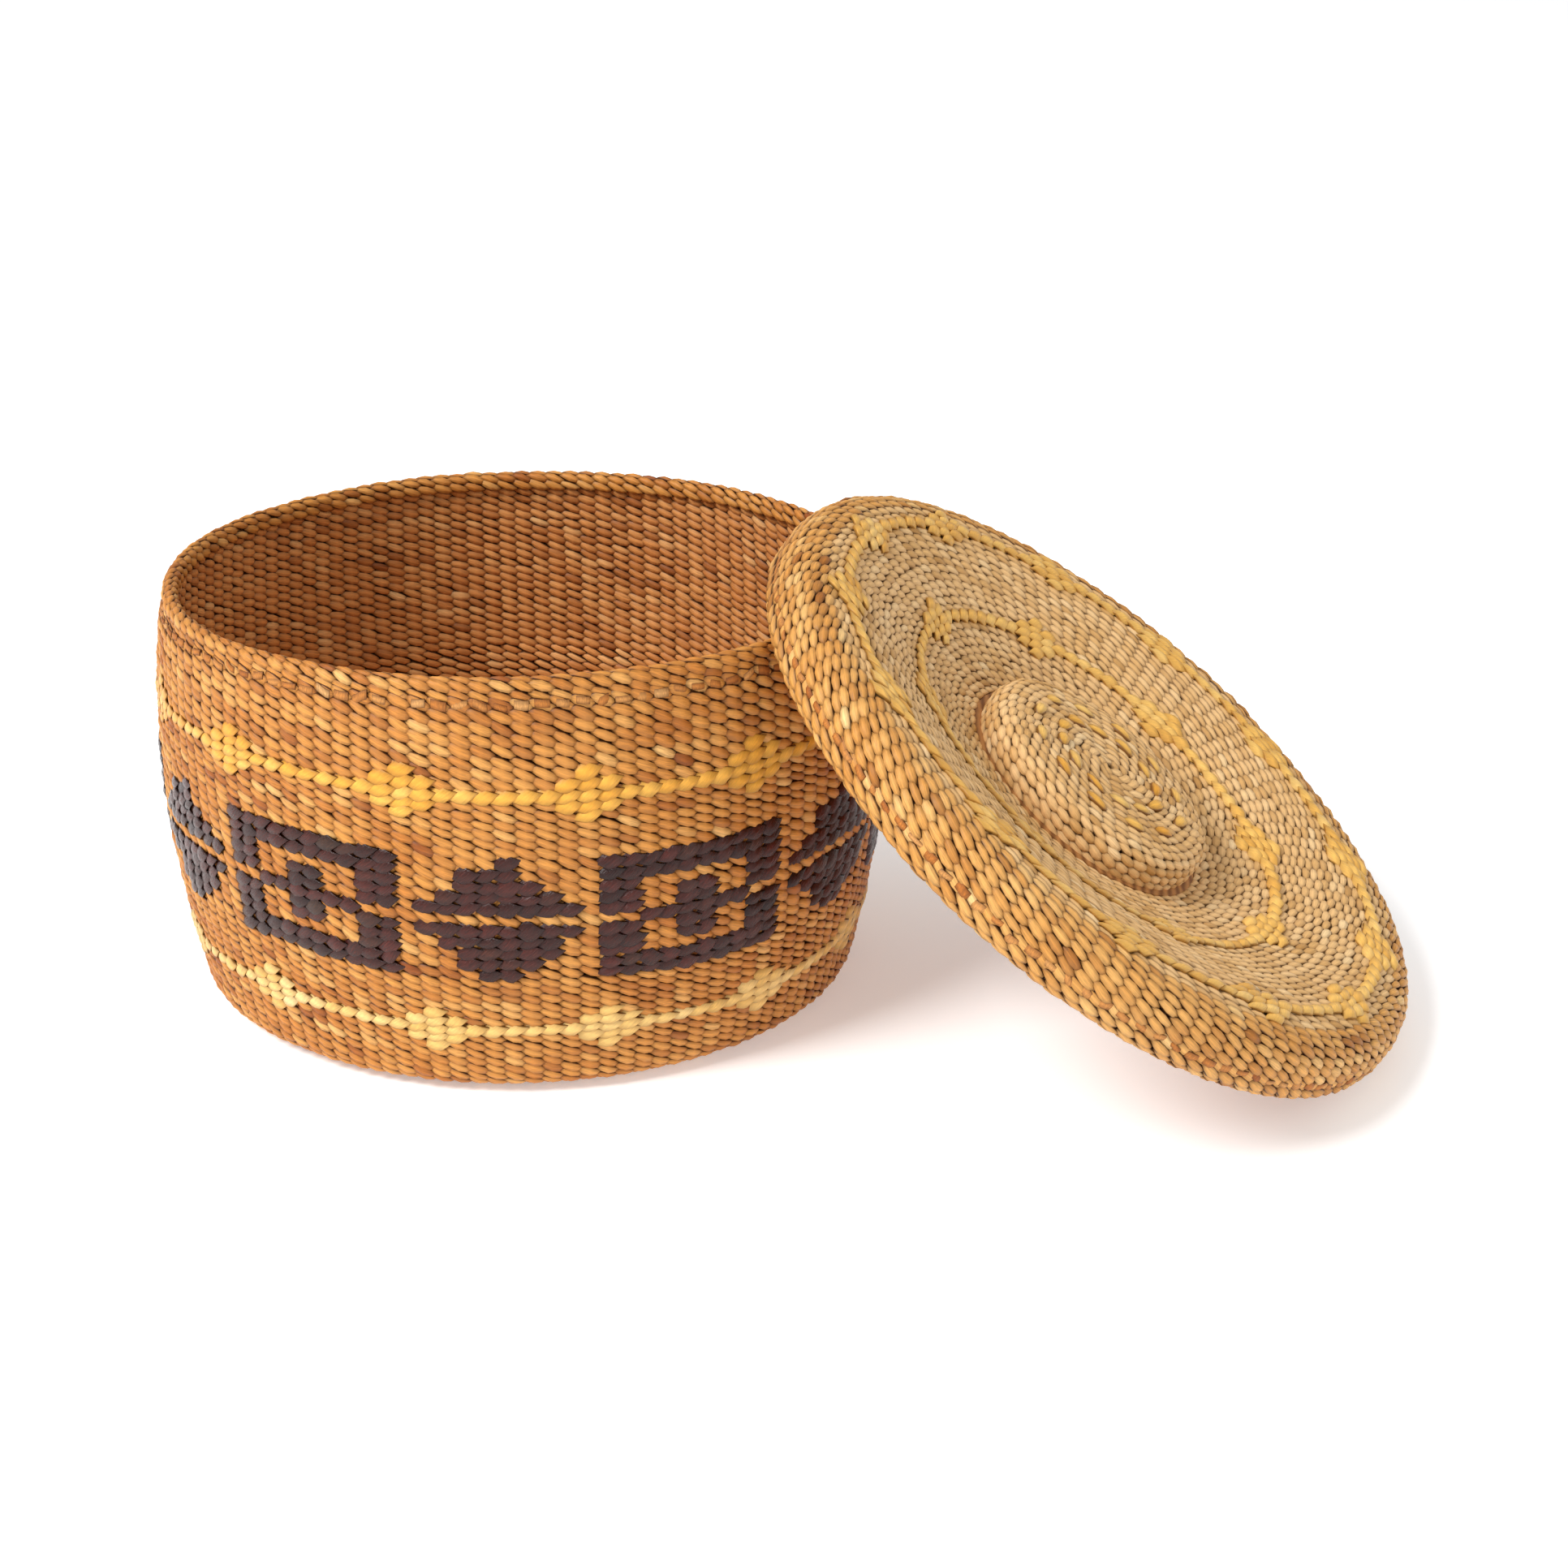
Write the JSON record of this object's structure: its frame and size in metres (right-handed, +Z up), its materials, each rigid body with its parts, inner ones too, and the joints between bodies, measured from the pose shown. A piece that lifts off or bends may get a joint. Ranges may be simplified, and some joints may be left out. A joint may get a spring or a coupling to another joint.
{
  "type": "lidded twined basket",
  "caption": "Round twined storage basket with dyed overlay bands, and a dished lid with a hollow knob taken off and leaning on its rim.",
  "frame": {"origin": "centre of the basket's flat base, on the surface it stands on", "axes": "+Z up along the basket's axis; -Y is the side with a box and a diamond of the dark band in view; the lid leans on the +X side, turned 15 degrees towards -Y"},
  "size_m": [0.337, 0.2418, 0.1325],
  "materials": {
    "root_tan": "split root, tan, matt",
    "root_brown": "split root, brown, matt",
    "root_dusty": "split root, weathered greyish tan, matt",
    "root_warp": "root warp, matt",
    "root_rust": "split root, rust brown",
    "grass_yellow": "dyed grass strip, yellow, satin",
    "grass_pale": "dyed grass strip, pale yellow, satin",
    "grass_dark": "dyed grass strip, dark purple-brown, glossy",
    "pebble": "small river pebble"
  },
  "bodies": {
    "basket": {"accent_row": "root_rust", "base_weft_inner": "root_brown", "base_weft_outer": "root_tan", "basket_warps": "root_warp", "dark_box_lower_1": "grass_dark", "dark_box_lower_2": "grass_dark", "dark_box_lower_3": "grass_dark", "dark_box_lower_4": "grass_dark", "dark_box_lower_5": "grass_dark", "dark_box_lower_6": "grass_dark", "dark_box_upper_1": "grass_dark", "dark_box_upper_2": "grass_dark", "dark_box_upper_3": "grass_dark", "dark_box_upper_4": "grass_dark", "dark_box_upper_5": "grass_dark", "dark_box_upper_6": "grass_dark", "dark_cross_1": "grass_dark", "dark_cross_2": "grass_dark", "dark_cross_3": "grass_dark", "dark_cross_4": "grass_dark", "dark_cross_5": "grass_dark", "dark_cross_6": "grass_dark", "dark_diamond_lower_1": "grass_dark", "dark_diamond_lower_2": "grass_dark", "dark_diamond_lower_3": "grass_dark", "dark_diamond_lower_4": "grass_dark", "dark_diamond_lower_5": "grass_dark", "dark_diamond_lower_6": "grass_dark", "dark_diamond_upper_1": "grass_dark", "dark_diamond_upper_2": "grass_dark", "dark_diamond_upper_3": "grass_dark", "dark_diamond_upper_4": "grass_dark", "dark_diamond_upper_5": "grass_dark", "dark_diamond_upper_6": "grass_dark", "lower_yellow_band": "grass_pale", "rim_braid": "root_tan", "upper_yellow_band": "grass_yellow", "wall_weft_inner": "root_brown", "wall_weft_outer": "root_tan"},
    "rattle": {"rattle_pebble_1": "pebble", "rattle_pebble_2": "pebble", "rattle_pebble_3": "pebble", "rattle_pebble_4": "pebble"},
    "lid": {"knob_cap": "root_dusty", "knob_flecks_inner": "grass_yellow", "knob_flecks_outer": "grass_yellow", "knob_floor": "root_brown", "lid_accent_row": "root_rust", "lid_edge_braid": "root_tan", "lid_inner_yellow_ring": "grass_yellow", "lid_outer_yellow_ring": "grass_yellow", "lid_warps": "root_warp", "lid_weft_inner": "root_brown", "lid_weft_outer": "root_dusty"}
  },
  "joints": [
    {"name": "lid_swing", "type": "hinge", "parent": "basket", "child": "rattle", "pos_m": [0.0836, -0.0224, 0.1161], "axis": [-0.2588, -0.9659, 0], "range_deg": [0, 220.38]},
    {"name": "lid_level", "type": "hinge", "parent": "rattle", "child": "lid", "pos_m": [0.1526, -0.04089, 0.0665], "axis": [-0.2588, -0.9659, 0], "range_deg": [-183.6, 0]}
  ],
  "couplings": [
    {"joint": "lid_level", "follows": "lid_swing", "ratio": -0.83302}
  ]
}
